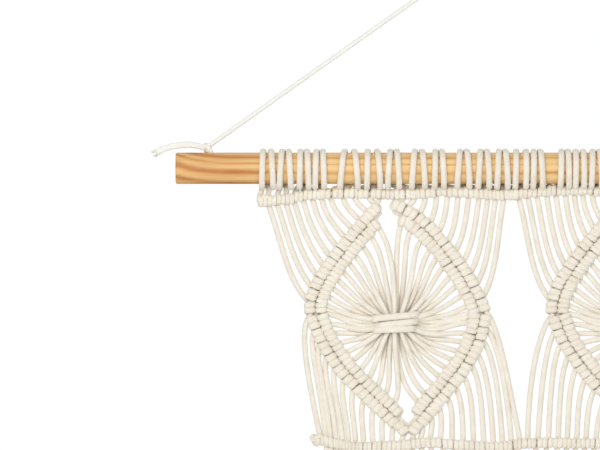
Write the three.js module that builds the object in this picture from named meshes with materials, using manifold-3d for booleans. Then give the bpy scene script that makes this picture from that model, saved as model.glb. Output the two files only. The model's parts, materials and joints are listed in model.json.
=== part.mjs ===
// A knotted cotton wall hanging on a round wooden dowel, hung from a wall hook by one cord.
// Millimetres, +X along the dowel, -Y towards the viewer, +Z up. The origin is the point of
// the wall hook that carries the cord.

import * as THREE from "three";
import { mergeVertices } from "three/addons/utils/BufferGeometryUtils.js";
import Module from "manifold-3d";

const wasm = await Module();
wasm.setup();

// ---- driving dimensions -------------------------------------------------------------------

const dowelLength = 650;
const dowelDiameter = 22;
const dowelChamfer = 0.8;
const dowelOverhang = 59.5; // bare dowel beyond the knotted panel, at each end

const cordDiameter = 4; // cotton cord of the knotted panel
const strandSpacing = 5.6; // between the two front strands of one lark's head
const wrapFlatness = 0.75; // thickness of a turn round the dowel, over the cord's diameter
const rowFullness = 1.84; // height of a row of hitches, over the cord's diameter
const motifCount = 3;
const rowSpacing = 175.3; // upper hitch row's centre line down to the lower one's

const diamondHalfWidth = 64.4;
const diamondBand = 16.8; // the two rows of hitches that frame a diamond, side by side
const diamondTopGap = 2.6; // underside of the upper row to a diamond's top
const diamondBottomGap = 6.4; // a diamond's bottom to the top of the lower row
const diamondTopShift = -5; // a diamond leans: its top sits to the left, its bottom to the right
const diamondBottomShift = 7;
const diamondInset = 3.8; // how far an outer diamond moves in from the middle of its knots

const gatherWidth = 34;
const gatherHeight = 15;
const gatherDepth = 16;
const gatherDrop = 3.8; // the gather's centre below the diamond's
const gatherShift = -1.8; // and to the left of it
const gatherCorner = 6; // radius of the gather's corners, seen from the front

const lowerRowInset = 37; // the lower row ends this far inside the upper row
const fringeLength = 200;
const fringeThickness = 5;

const hangerDiameter = 3.2; // braided cord that carries the dowel
const hangerRise = 215; // top of the dowel up to the hook point
const hangerInset = 22.3; // knot's centre in from the end of the dowel
const hookBend = 8; // bend radius of the cord's centre line over the hook
const legSpread = 5.6; // between the cord's two legs under a hanger knot
const tailDiameter = 3.6; // the loosened end of the hanger cord
const knotRadius = 3.5; // the hanger knots
const stopperRadius = 5; // the overhand knots that end each hitch row
const stopperInset = 1.5; // a stopper knot's centre in from the end of its row
const stopperOffset = 2.5; // and below the upper row's centre line, or above the lower one's
const stopperRoom = 8; // length of a row's end that carries no strands

const clearance = 0.35; // gap between pieces that touch
const loopClearance = 0.6; // hanger cord to the wall of its drilled hole, and to the dowel
const turningGap = 0.5; // between a hitch row and the strands that swing about it

// Gaps to the right of each lark's head, as shares of a motif's free length.
const knotGaps = [
  [2.6, 3.6, 1.0, 11.5, 7.9, 4.3, 8.1, 5.1, 7.5, 4.7, 3.4, 3.1],
  [2.3, 9.5, 0.7, 2.0, 6.5, 5.5, 7.5, 6.0, 8.0, 5.0, 5.5, 4.2],
  [3.4, 4.7, 7.5, 5.1, 8.1, 4.3, 7.9, 11.5, 1.0, 3.6, 2.6, 3.1],
];

// ---- sizes worked out from them -----------------------------------------------------------

const dowelRadius = dowelDiameter / 2;
const dowelZ = -hangerRise - dowelRadius;
const panelWidth = dowelLength - 2 * dowelOverhang;
const motifWidth = panelWidth / motifCount;

const wrapInner = dowelRadius + clearance;
const wrapOuter = wrapInner + wrapFlatness * cordDiameter;
const knotWidth = strandSpacing + cordDiameter;

const rowRadius = (rowFullness * cordDiameter) / 2;
const upperRowZ = dowelZ - wrapOuter - clearance - rowRadius;
const lowerRowZ = upperRowZ - rowSpacing;

const diamondTopZ = upperRowZ - rowRadius - diamondTopGap;
const diamondBottomZ = lowerRowZ + rowRadius + diamondBottomGap;
const diamondZ = (diamondTopZ + diamondBottomZ) / 2;
const diamondHalfHeight = (diamondTopZ - diamondBottomZ) / 2;
const diamondThickness = 2 * cordDiameter;
const strandThickness = cordDiameter;

const lowerRowWidth = panelWidth - 2 * lowerRowInset;
const lowerMotifWidth = lowerRowWidth / motifCount;
const knotAboveDowel = knotRadius + clearance;
const knotZ = dowelZ + dowelRadius + knotAboveDowel;
const knotX = dowelLength / 2 - hangerInset;

// ---- materials ----------------------------------------------------------------------------

const wood = new THREE.MeshStandardMaterial({ color: 0xdca566, roughness: 0.62, metalness: 0 });
const cotton = new THREE.MeshStandardMaterial({ color: 0xe9e0d0, roughness: 0.92, metalness: 0 });
const braid = new THREE.MeshStandardMaterial({ color: 0xe6e2d6, roughness: 0.88, metalness: 0 });

// ---- geometry helpers ---------------------------------------------------------------------

const hanging = new THREE.Group();

function place(name, geometry, material, x = 0, y = 0, z = 0) {
  const mesh = new THREE.Mesh(geometry, material);
  mesh.name = name;
  mesh.position.set(x, y, z);
  hanging.add(mesh);
}

function solidOf(geometry) {
  const bare = geometry.clone();
  bare.deleteAttribute("normal");
  bare.deleteAttribute("uv");
  const merged = mergeVertices(bare, 1e-4);
  return new wasm.Manifold(
    new wasm.Mesh({
      numProp: 3,
      vertProperties: new Float32Array(merged.attributes.position.array),
      triVerts: new Uint32Array(merged.index.array),
    }),
  );
}

function geometryOf(solid) {
  const mesh = solid.getMesh();
  const geometry = new THREE.BufferGeometry();
  geometry.setAttribute("position", new THREE.BufferAttribute(mesh.vertProperties, 3));
  geometry.setIndex(new THREE.BufferAttribute(mesh.triVerts, 1));
  geometry.computeVertexNormals();
  return geometry;
}

// A flat outline drawn in X and Z, made `thickness` deep and centred on Y = 0.
function slab(shape, thickness) {
  const geometry = new THREE.ExtrudeGeometry(shape, {
    depth: thickness,
    bevelEnabled: false,
    curveSegments: 3,
  });
  geometry.rotateX(Math.PI / 2);
  geometry.translate(0, thickness / 2, 0);
  return geometry;
}

function disc(radius, sides) {
  const shape = new THREE.Shape();
  for (let i = 0; i < sides; i += 1) {
    const angle = (2 * Math.PI * (i + 0.5)) / sides;
    const point = [radius * Math.cos(angle), radius * Math.sin(angle)];
    if (i === 0) shape.moveTo(...point);
    else shape.lineTo(...point);
  }
  return shape;
}

const cordSides = 8;

function tube(curve, diameter, steps) {
  return new THREE.ExtrudeGeometry(disc(diameter / 2, cordSides), { extrudePath: curve, steps });
}

// A solid of revolution about the X axis; the profile is [distance along X, radius] pairs.
function turned(profile, sides) {
  const geometry = new THREE.LatheGeometry(
    profile.map(([along, radius]) => new THREE.Vector2(radius, along)),
    sides,
  );
  geometry.rotateZ(-Math.PI / 2);
  return geometry;
}

// ---- the dowel ----------------------------------------------------------------------------

const dowelSides = 40;
const holeX = knotX - legSpread / 2;
const holeExit = (-35 * Math.PI) / 180; // angle about the dowel's axis, 0 at its back
const holeRadius = hangerDiameter / 2 + loopClearance;

// The hole under each knot slants from the top of the dowel to its back, where `share` of the
// way along it gives a point of its axis.
function alongHole(x, share) {
  const y = share * dowelRadius * Math.cos(holeExit);
  const z = dowelRadius + share * dowelRadius * (Math.sin(holeExit) - 1);
  return new THREE.Vector3(x, y, z);
}

function dowel() {
  const half = dowelLength / 2;
  const rod = turned(
    [
      [-half, 0],
      [-half, dowelRadius - dowelChamfer],
      [-half + dowelChamfer, dowelRadius],
      [half - dowelChamfer, dowelRadius],
      [half, dowelRadius - dowelChamfer],
      [half, 0],
    ],
    dowelSides,
  );
  const drill = new THREE.CylinderGeometry(holeRadius, holeRadius, 2 * dowelDiameter, 16);
  const axis = alongHole(0, 0).sub(alongHole(0, 1));
  drill.rotateX(Math.atan2(axis.z, axis.y));
  drill.translate(...alongHole(0, 0.5));
  const leftHole = solidOf(drill).translate([-holeX, 0, 0]);
  const rightHole = solidOf(drill).translate([holeX, 0, 0]);
  return geometryOf(solidOf(rod).subtract(leftHole).subtract(rightHole));
}

place("dowel", dowel(), wood, 0, 0, dowelZ);

// ---- the hanger cord, its knots, loops and loose tails --------------------------------------

// The cord climbs from a knot, bends over the hook and comes down to the other knot.
class HangerRun extends THREE.Curve {
  constructor() {
    super();
    this.topZ = hangerDiameter / 2;
    this.slope = this.slopeTo(knotX);
    this.bendX = hookBend * Math.sin(this.slope);
    this.bendZ = this.topZ - hookBend * (1 - Math.cos(this.slope));
    this.startX = knotX - (knotRadius + clearance) * Math.cos(this.slope);
  }

  slopeTo(x) {
    let slope = Math.atan2(-knotZ, x);
    for (let i = 0; i < 20; i += 1) {
      const bendX = hookBend * Math.sin(slope);
      const bendZ = this.topZ - hookBend * (1 - Math.cos(slope));
      slope = Math.atan2(bendZ - knotZ, x - bendX);
    }
    return slope;
  }

  getPoint(t) {
    const side = t < 0.5 ? -1 : 1;
    const reach = Math.abs(2 * t - 1) * this.startX;
    if (reach > this.bendX) {
      const z = this.bendZ - (reach - this.bendX) * Math.tan(this.slope);
      return new THREE.Vector3(side * reach, 0, z);
    }
    const z = this.topZ - hookBend + Math.sqrt(hookBend ** 2 - reach ** 2);
    return new THREE.Vector3(side * reach, 0, z);
  }
}

place("hanger_cord", tube(new HangerRun(), hangerDiameter, 60), braid);

// Under each knot the cord runs down through the slanting hole, turns on the back of the
// dowel and climbs to the knot again. Angles are about the dowel's axis, 0 at its back.
const loopStart = -12;
const loopEnd = 54;
const loopStep = 11;
const mouthTurn = [
  [10.1, -8.2],
  [11.9, -8.6],
  [13.1, -6.4],
]; // the bend at the hole's mouth on a 22 mm dowel: towards the back, and up

function loopPath(side) {
  const reach = dowelRadius + loopClearance + hangerDiameter / 2;
  const mouthScale = reach / 13.2;
  const inner = side * holeX;
  const outer = side * (knotX + legSpread / 2);
  const points = [0, 0.25, 0.5, 0.75, 0.96].map((share) => alongHole(inner, share));
  mouthTurn.forEach(([y, z], i) => {
    const x = inner + ((outer - inner) * (i + 1)) / (2 * mouthTurn.length);
    points.push(new THREE.Vector3(x, y * mouthScale, z * mouthScale));
  });
  for (let degrees = loopStart; degrees <= loopEnd; degrees += loopStep) {
    const angle = (degrees * Math.PI) / 180;
    const share = (degrees - loopStart) / (loopEnd - loopStart);
    const x = inner + ((outer - inner) * (1 + share)) / 2;
    points.push(new THREE.Vector3(x, reach * Math.cos(angle), reach * Math.sin(angle)));
  }
  return new THREE.CatmullRomCurve3(points, false, "centripetal");
}

// The loosened end of the cord, from its knot out past the end of the dowel: outwards,
// towards the back, and up from the knot's centre.
const tailPoints = [
  [3.9, 0, 0.3],
  [8.5, -0.3, 1.2],
  [14.0, -0.5, 1.5],
  [20.0, -0.4, 1.1],
  [26.0, 0.0, 0.0],
  [31.5, 0.3, -1.8],
  [36.5, 0.4, -3.9],
];

function tailPath(side) {
  const points = tailPoints.map(
    ([out, back, up]) => new THREE.Vector3(side * (knotX + out), back, knotZ + up),
  );
  return new THREE.CatmullRomCurve3(points);
}

for (const [word, side] of [["left", -1], ["right", 1]]) {
  const knot = new THREE.SphereGeometry(knotRadius, 12, 8);
  place(`hanger_knot_${word}`, knot, braid, side * knotX, 0, knotZ);
  place(`hanger_loop_${word}`, tube(loopPath(side), hangerDiameter, 26), braid, 0, 0, dowelZ);
  place(`hanger_tail_${word}`, tube(tailPath(side), tailDiameter, 12), braid);
}

// ---- the lark's heads on the dowel ----------------------------------------------------------

// Two turns of one cord lie side by side round the dowel, with a groove between them.
const ringSides = 10;
const flatten = 1 / Math.cos(Math.PI / ringSides);

function larksHead() {
  const half = knotWidth / 2;
  return turned(
    [
      [-half, wrapInner * flatten],
      [-half, wrapOuter],
      [0, (wrapInner * flatten + wrapOuter) / 2],
      [half, wrapOuter],
      [half, wrapInner * flatten],
      [-half, wrapInner * flatten],
    ],
    ringSides,
  );
}

// Centres of one motif's lark's heads, from the left edge of the panel.
function knotCentres(motif) {
  const gaps = knotGaps[motif % knotGaps.length];
  const total = gaps.reduce((sum, gap) => sum + gap, 0);
  const free = motifWidth - gaps.length * (knotWidth + clearance);
  const centres = [];
  let x = -panelWidth / 2 + motif * motifWidth;
  for (const gap of gaps) {
    centres.push(x + knotWidth / 2);
    x += knotWidth + clearance + (free * gap) / total;
  }
  return centres;
}

let knotNumber = 0;
for (let motif = 0; motif < motifCount; motif += 1) {
  for (const x of knotCentres(motif)) {
    knotNumber += 1;
    const name = `larks_head_${String(knotNumber).padStart(2, "0")}`;
    place(name, larksHead(), cotton, x, 0, dowelZ);
  }
}

// ---- the two horizontal hitch rows ----------------------------------------------------------

// A row of hitches over a holding cord, which ends in a stopper knot at each side.
function hitchRow(width, stopperLift) {
  const stopperX = width / 2 - stopperInset;
  const bar = new THREE.CylinderGeometry(rowRadius, rowRadius, width - stopperRadius, 14);
  bar.rotateZ(Math.PI / 2);
  const ball = new THREE.SphereGeometry(stopperRadius, 12, 8);
  const leftStopper = solidOf(ball).translate([-stopperX, 0, stopperLift]);
  const rightStopper = solidOf(ball).translate([stopperX, 0, stopperLift]);
  return geometryOf(solidOf(bar).add(leftStopper).add(rightStopper));
}

place("upper_hitch_row", hitchRow(panelWidth, -stopperOffset), cotton, 0, 0, upperRowZ);
place("lower_hitch_row", hitchRow(lowerRowWidth, stopperOffset), cotton, 0, 0, lowerRowZ);

// ---- the diamonds ---------------------------------------------------------------------------

const outlineSteps = 7; // straight pieces in each quarter of a diamond's outline

// Control points of a diamond's right-hand quarters, as shares of its half width and half
// height. It bulges in its upper half and runs nearly straight below the corner.
const upperQuarter = [
  [0, 1],
  [0.5, 0.92],
  [1, 0.5],
  [1, 0.04],
];
const lowerQuarter = [
  [1, 0.04],
  [1, -0.2],
  [0.42, -0.75],
  [0, -1],
];
const cornerLift = upperQuarter[3][1] * diamondHalfHeight;
const outlineBulge = 1.12; // distance of the curved outline from the centre, over a straight one's

// `grow` moves the outline outwards.
function diamondShape(scale, grow = 0) {
  const w = diamondHalfWidth * scale + grow;
  const h = diamondHalfHeight * scale + grow;
  const shift = (up) => scale * (up > 0 ? diamondTopShift : diamondBottomShift);
  const point = (side, [across, up]) => {
    const lean = (1 - across) * shift(up);
    return [side * across * w + lean, up * h];
  };
  const path = new THREE.Path();
  const curve = (side, [a, b, c]) => {
    path.bezierCurveTo(...point(side, a), ...point(side, b), ...point(side, c));
  };
  path.moveTo(...point(-1, upperQuarter[0]));
  curve(-1, upperQuarter.slice(1));
  curve(-1, lowerQuarter.slice(1));
  curve(1, lowerQuarter.toReversed().slice(1));
  curve(1, upperQuarter.toReversed().slice(1));
  return new THREE.Shape(path.getPoints(outlineSteps).slice(0, -1));
}

const straightDistance =
  (diamondHalfWidth * diamondHalfHeight) / Math.hypot(diamondHalfWidth, diamondHalfHeight);
const innerScale = 1 - diamondBand / (outlineBulge * straightDistance);

function frameOfHitches() {
  const shape = diamondShape(1);
  shape.holes.push(diamondShape(innerScale));
  return slab(shape, diamondThickness);
}

function gatherShape(grow = 0) {
  const w = gatherWidth / 2 + grow;
  const h = gatherHeight / 2 + grow;
  const corner = gatherCorner;
  const shape = new THREE.Shape();
  shape.moveTo(-w + corner, -h);
  shape.lineTo(w - corner, -h);
  shape.quadraticCurveTo(w, -h, w, -h + corner);
  shape.lineTo(w, h - corner);
  shape.quadraticCurveTo(w, h, w - corner, h);
  shape.lineTo(-w + corner, h);
  shape.quadraticCurveTo(-w, h, -w, h - corner);
  shape.lineTo(-w, -h + corner);
  shape.quadraticCurveTo(-w, -h, -w + corner, -h);
  return shape;
}

// The strands inside a diamond, which fan from its frame to the gather in the middle.
function innerStrands() {
  const fan = solidOf(slab(diamondShape(innerScale, -clearance), strandThickness));
  const room = solidOf(slab(gatherShape(clearance), 2 * gatherDepth));
  return geometryOf(fan.subtract(room.translate([gatherShift, 0, -gatherDrop])));
}

function diamondX(motif) {
  const middle = (motif - (motifCount - 1) / 2) * motifWidth;
  return middle - Math.sign(middle) * 2 * diamondInset;
}

for (let motif = 0; motif < motifCount; motif += 1) {
  const x = diamondX(motif);
  const number = motif + 1;
  const gatherX = x + gatherShift;
  place(`diamond_${number}`, frameOfHitches(), cotton, x, 0, diamondZ);
  place(`inner_strands_${number}`, innerStrands(), cotton, x, 0, diamondZ);
  const gather = slab(gatherShape(), gatherDepth);
  place(`gather_${number}`, gather, cotton, gatherX, 0, diamondZ - gatherDrop);
}

// ---- the strands between the rows and the diamonds --------------------------------------------

function outline(points) {
  const shape = new THREE.Shape();
  points.forEach(([x, z], i) => {
    if (i === 0) shape.moveTo(x, z);
    else shape.lineTo(x, z);
  });
  return shape;
}

// One slab of strands that runs the length of a hitch row. `rowZ` is the slab's edge at the row,
// `tipZ` where each motif's strands have reached the sides of its diamond.
function strandField(halfAtRow, pitchAtRow, rowZ, tipZ) {
  const stripZ = rowZ + Math.sign(tipZ - rowZ) * (diamondTopGap - turningGap - clearance);
  const strip = outline([
    [-halfAtRow, rowZ],
    [halfAtRow, rowZ],
    [halfAtRow, stripZ],
    [-halfAtRow, stripZ],
  ]);
  let field = solidOf(slab(strip, strandThickness));
  for (let motif = 0; motif < motifCount; motif += 1) {
    const left = (motif - motifCount / 2) * pitchAtRow;
    const x = diamondX(motif);
    const hang = outline([
      [Math.max(left + clearance, -halfAtRow), rowZ],
      [Math.min(left + pitchAtRow - clearance, halfAtRow), rowZ],
      [x + diamondHalfWidth, tipZ],
      [x - diamondHalfWidth, tipZ],
    ]);
    field = field.add(solidOf(slab(hang, strandThickness)));
  }
  for (let motif = 0; motif < motifCount; motif += 1) {
    const room = solidOf(slab(diamondShape(1, clearance), 2 * diamondThickness));
    field = field.subtract(room.translate([diamondX(motif), 0, diamondZ]));
  }
  return geometryOf(field);
}

const cornerZ = diamondZ + cornerLift; // height of the diamonds' corners
const strandReach = 13; // the slabs of strands end this far above and below it

const upperStrands = strandField(
  panelWidth / 2 - stopperRoom,
  motifWidth,
  upperRowZ - rowRadius - turningGap,
  cornerZ + strandReach,
);
place("upper_strands", upperStrands, cotton);

const lowerStrands = strandField(
  lowerRowWidth / 2 - stopperRoom,
  lowerMotifWidth,
  lowerRowZ + rowRadius + turningGap,
  cornerZ - strandReach,
);
place("lower_strands", lowerStrands, cotton);

// ---- the fringe -----------------------------------------------------------------------------

for (let motif = 0; motif < motifCount; motif += 1) {
  const first = motif === 0 ? stopperRoom : clearance;
  const last = motif === motifCount - 1 ? stopperRoom : clearance;
  const left = -lowerRowWidth / 2 + motif * lowerMotifWidth + first;
  const right = -lowerRowWidth / 2 + (motif + 1) * lowerMotifWidth - last;
  const top = lowerRowZ - rowRadius - turningGap;
  const bottom = top - fringeLength;
  const tassel = outline([
    [left, top],
    [left, bottom],
    [right, bottom],
    [right, top],
  ]);
  place(`fringe_${motif + 1}`, slab(tassel, fringeThickness), cotton);
}

export default hanging;
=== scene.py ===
import json
import math

import bpy
import numpy as np
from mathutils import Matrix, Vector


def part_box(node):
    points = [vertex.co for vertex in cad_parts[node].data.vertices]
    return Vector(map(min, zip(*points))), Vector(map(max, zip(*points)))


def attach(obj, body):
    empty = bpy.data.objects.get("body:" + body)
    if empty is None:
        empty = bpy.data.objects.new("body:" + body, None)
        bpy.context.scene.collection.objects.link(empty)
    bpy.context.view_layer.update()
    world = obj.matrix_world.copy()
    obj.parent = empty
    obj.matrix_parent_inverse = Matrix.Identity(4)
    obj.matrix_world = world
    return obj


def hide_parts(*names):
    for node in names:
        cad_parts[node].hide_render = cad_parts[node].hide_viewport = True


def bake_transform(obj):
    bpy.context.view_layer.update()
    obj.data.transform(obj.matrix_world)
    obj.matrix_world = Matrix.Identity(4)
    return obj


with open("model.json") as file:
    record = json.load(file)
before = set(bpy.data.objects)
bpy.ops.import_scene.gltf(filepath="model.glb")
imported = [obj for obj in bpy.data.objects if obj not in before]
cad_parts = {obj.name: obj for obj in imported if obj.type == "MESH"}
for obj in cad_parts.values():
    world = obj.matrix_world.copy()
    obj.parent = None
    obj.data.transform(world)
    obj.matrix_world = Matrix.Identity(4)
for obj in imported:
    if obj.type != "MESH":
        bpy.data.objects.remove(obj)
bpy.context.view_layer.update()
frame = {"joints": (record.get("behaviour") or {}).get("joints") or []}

# Shapes are worked out in millimetres, in the CAD frame: +X along the dowel, -Y towards the
# viewer, +Z up, with the origin at the wall hook. Meshes are stored in metres.

MM = 0.001
TURN = 2 * math.pi
rng = np.random.default_rng(11)

RIGHT = np.array([1.0, 0.0, 0.0])
BACK = np.array([0.0, 1.0, 0.0])
FRONT = -BACK
UP = np.array([0.0, 0.0, 1.0])


def cad(node):
    low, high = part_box(node)
    return np.array(low) / MM, np.array(high) / MM


dowel_low, dowel_high = cad("dowel")
DOWEL_Z = (dowel_low[2] + dowel_high[2]) / 2
DOWEL_R = (dowel_high[1] - dowel_low[1]) / 2
DOWEL_HALF = dowel_high[0]
hinge_z = {joint["name"]: joint["pos_m"][2] / MM for joint in frame["joints"]}
UPPER_Z = hinge_z["band_fold"]
LOWER_Z = hinge_z["fringe_swing_1"]
FRINGE_BOTTOM = cad("fringe_1")[0][2]
diamond_boxes = [cad(f"diamond_{number}") for number in (1, 2, 3)]
DIAMOND = [(low + high) / 2 for low, high in diamond_boxes]
GATHER = [sum(cad(f"gather_{number}")) / 2 for number in (1, 2, 3)]
KNOTS = [sum(cad(f"larks_head_{number:02d}")) / 2 for number in range(1, 37)]

CORD = 3.9  # a free strand's thickness
HANGER = 3.2
HOLDING = 3.1  # the cord that a row of hitches is tied over
RING = 12.3  # a strand's centre line from the dowel's axis
FINE_PLY = 0.015  # how deep the plies of a tightly drawn hitch show
SOFT_PLY = 0.05

# ---- the swept cord ----


def unit(v):
    v = np.asarray(v, float)
    return v / np.maximum(np.linalg.norm(v, axis=-1, keepdims=True), 1e-9)


def smooth(t):
    t = np.clip(t, 0, 1)
    return t * t * (3 - 2 * t)


def distance_along(points):
    steps = np.linalg.norm(np.diff(points, axis=0), axis=1)
    return np.concatenate([[0], np.cumsum(steps)])


def resample(points, step):
    points = np.asarray(points, float)
    along = distance_along(points)
    count = max(2, int(math.ceil(along[-1] / step)) + 1)
    at = np.linspace(0, along[-1], count)
    return np.stack([np.interp(at, along, points[:, i]) for i in range(3)], axis=1)


def spline(points, step=1.4):
    """A smooth curve through the points, evenly resampled."""
    p = np.asarray(points, float)
    p = np.vstack([2 * p[0] - p[1], p, 2 * p[-1] - p[-2]])
    t = np.linspace(0, 1, 14, endpoint=False)[:, None]
    parts = []
    for a, b, c, d in zip(p[:-3], p[1:-2], p[2:-1], p[3:]):
        square = 2 * a - 5 * b + 4 * c - d
        cube = 3 * b - a - 3 * c + d
        parts.append(0.5 * (2 * b + (c - a) * t + square * t**2 + cube * t**3))
    parts.append(p[-2][None])
    return resample(np.vstack(parts), step)


def bezier(a, b, c, d, step=1.4):
    t = np.linspace(0, 1, 60)[:, None]
    curve = (1 - t) ** 3 * a + 3 * (1 - t) ** 2 * t * b + 3 * (1 - t) * t**2 * c + t**3 * d
    return resample(curve, step)


CAP_ANGLES = (62, 32)  # degrees round a cord's rounded end, from its widest ring
PLIES = 3


def swept(path, width, thick=None, out=BACK, sides=12, ply=0.018, pitch=15.0):
    """A cord along the path: vertices, quads, triangles, and the UVs of both.

    `out` is the direction in which the section measures `thick`. The plies stand out by the
    share `ply` and turn once in `pitch`."""
    path = np.asarray(path, float)
    n = len(path)
    thick = np.broadcast_to(width if thick is None else thick, n).astype(float)
    width = np.broadcast_to(width, n).astype(float)
    tangent = unit(np.gradient(path, axis=0))
    out = np.broadcast_to(np.asarray(out, float), (n, 3))
    depth = unit(out - (out * tangent).sum(1, keepdims=True) * tangent)
    side = np.cross(tangent, depth)
    along = distance_along(path)

    # Round ends: two smaller rings beyond each end, then a tip.
    caps = np.radians(CAP_ANGLES)
    reach = np.sin(caps)
    rows = np.concatenate([[0, 0], np.arange(n), [n - 1, n - 1]])
    shift = np.concatenate([-reach * thick[0] / 2, np.zeros(n), reach[::-1] * thick[-1] / 2])
    scale = np.concatenate([np.cos(caps), np.ones(n), np.cos(caps[::-1])])

    angle = TURN * np.arange(sides) / sides + TURN / 4
    turn = along[rows] + shift
    lobes = 1 + ply * np.cos(PLIES * (angle[None] - TURN * turn[:, None] / pitch))
    across = np.cos(angle)[None] * lobes * (width[rows] * scale)[:, None] / 2
    deep = np.sin(angle)[None] * lobes * (thick[rows] * scale)[:, None] / 2
    centre = path[rows] + tangent[rows] * shift[:, None]
    verts = (
        centre[:, None]
        + side[rows][:, None] * across[..., None]
        + depth[rows][:, None] * deep[..., None]
    ).reshape(-1, 3)
    tips = np.stack(
        [path[0] - tangent[0] * thick[0] / 2, path[-1] + tangent[-1] * thick[-1] / 2]
    )
    m = len(rows)
    i = np.arange(m - 1)[:, None] * sides
    j = np.arange(sides)
    k = (j + 1) % sides
    quads = np.stack([i + j, i + k, i + sides + k, i + sides + j], axis=-1).reshape(-1, 4)
    first = np.stack([k, j, np.full(sides, m * sides)], axis=-1)
    last = np.stack([j, k, np.full(sides, m * sides + 1)], axis=-1)
    last[:, :2] += (m - 1) * sides
    tris = np.vstack([first, last])

    u0 = np.tile(np.arange(sides) / sides, m - 1)
    v0 = np.repeat(turn[:-1], sides)
    v1 = np.repeat(turn[1:], sides)
    u1 = u0 + 1 / sides
    uvs = np.stack([u0, v0, u1, v0, u1, v1, u0, v1], axis=-1).reshape(-1, 4, 2)
    tip_uvs = np.zeros((2 * sides, 3, 2))
    tip_uvs[:sides, :, 1] = turn[0]
    tip_uvs[sides:, :, 1] = turn[-1]
    return np.vstack([verts, tips]), quads, tris, uvs, tip_uvs


def put(name, data):
    """A new object in the scene."""
    made = bpy.data.objects.new(name, data)
    bpy.context.scene.collection.objects.link(made)
    return made


class Weave:
    """Cords gathered into one mesh."""

    def __init__(self):
        self.parts = []
        self.count = 0

    def cord(self, path, width, thick=None, **rest):
        verts, quads, tris, quad_uvs, tri_uvs = swept(path, width, thick, **rest)
        self.parts.append((verts, quads + self.count, tris + self.count, quad_uvs, tri_uvs))
        self.count += len(verts)

    def piece(self, name, material, body=None, slot="cotton_cord", replaces=()):
        """The mesh as an object that rides on `body`, or one that rides on nothing when no body is
        given.
        """
        verts, quads, tris, quad_uvs, tri_uvs = (np.vstack(part) for part in zip(*self.parts))
        data = bpy.data.meshes.new(name)
        loops = np.concatenate([quads.ravel(), tris.ravel()])
        starts = np.r_[0 : quads.size : 4, quads.size : loops.size : 3]
        data.vertices.add(len(verts))
        data.vertices.foreach_set("co", (verts * MM).ravel())
        data.loops.add(len(loops))
        data.loops.foreach_set("vertex_index", loops.astype(np.int32))
        data.polygons.add(len(starts))
        data.polygons.foreach_set("loop_start", starts.astype(np.int32))
        uv = data.uv_layers.new(name="cord")
        uvs = np.concatenate([quad_uvs.ravel(), tri_uvs.ravel()])
        uv.data.foreach_set("uv", uvs.astype(np.float32))
        data.update(calc_edges=True)
        data.validate()
        data.shade_smooth()
        data.materials.append(material)
        piece = put(name, data)
        if body:
            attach(piece, body)
        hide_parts(*replaces)
        return piece


# ---- materials ----


class Nodes:
    """A material's node tree, with short ways to add what the looks need."""

    def __init__(self, name):
        self.material = bpy.data.materials.new(name)
        self.material.use_nodes = True
        self.tree = self.material.node_tree
        self.shader = self.tree.nodes["Principled BSDF"]

    def add(self, kind, **values):
        node = self.tree.nodes.new(kind)
        for key, value in values.items():
            if hasattr(node, key):
                setattr(node, key, value)
            else:
                node.inputs[key.replace("_", " ")].default_value = value
        return node

    def link(self, source, target):
        self.tree.links.new(source, target)

    def set(self, name, value):
        self.shader.inputs[name].default_value = value

    def math(self, operation, a, b=None, clamp=False):
        node = self.tree.nodes.new("ShaderNodeMath")
        node.operation = operation
        node.use_clamp = clamp
        for socket, value in zip(node.inputs, (a, b)):
            if value is None:
                continue
            if isinstance(value, (int, float)):
                socket.default_value = value
            else:
                self.link(value, socket)
        return node.outputs[0]

    def ramp(self, factor, stops):
        node = self.tree.nodes.new("ShaderNodeValToRGB")
        elements = node.color_ramp.elements
        while len(elements) < len(stops):
            elements.new(0.5)
        for element, (at, colour) in zip(elements, stops):
            element.position = at
            element.color = (*colour, 1)
        self.link(factor, node.inputs["Fac"])
        return node.outputs["Color"]

    def mix(self, factor, a, b, blend="MIX"):
        node = self.tree.nodes.new("ShaderNodeMix")
        node.data_type = "RGBA"
        node.blend_type = blend
        sockets = (node.inputs["Factor"], *node.inputs[6:8])
        for socket, value in zip(sockets, (factor, a, b)):
            if isinstance(value, (int, float)):
                socket.default_value = value
            elif isinstance(value, tuple):
                socket.default_value = (*value, 1)
            else:
                self.link(value, socket)
        return node.outputs[2]

    def noise(self, vector, scale, detail, roughness):
        node = self.add("ShaderNodeTexNoise", Scale=scale, Detail=detail, Roughness=roughness)
        self.link(vector, node.inputs["Vector"])
        return node.outputs["Fac"]

    def grain(self, vector, scale, detail, roughness):
        """Noise drawn out along the wood: `scale` is how fine it is on each axis."""
        node = self.add("ShaderNodeMapping")
        node.inputs["Scale"].default_value = scale
        self.link(vector, node.inputs["Vector"])
        return self.noise(node.outputs["Vector"], 1.0, detail, roughness)

    def roughness(self, varied, span, least):
        rough = self.math("MULTIPLY_ADD", varied, span)
        rough.node.inputs[2].default_value = least
        self.link(rough, self.shader.inputs["Roughness"])

    def bump(self, height, strength, distance):
        node = self.add("ShaderNodeBump", Strength=strength, Distance=distance)
        self.link(height, node.inputs["Height"])
        self.link(node.outputs["Normal"], self.shader.inputs["Normal"])


RELIEF_DEPTH = 0.0002


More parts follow.
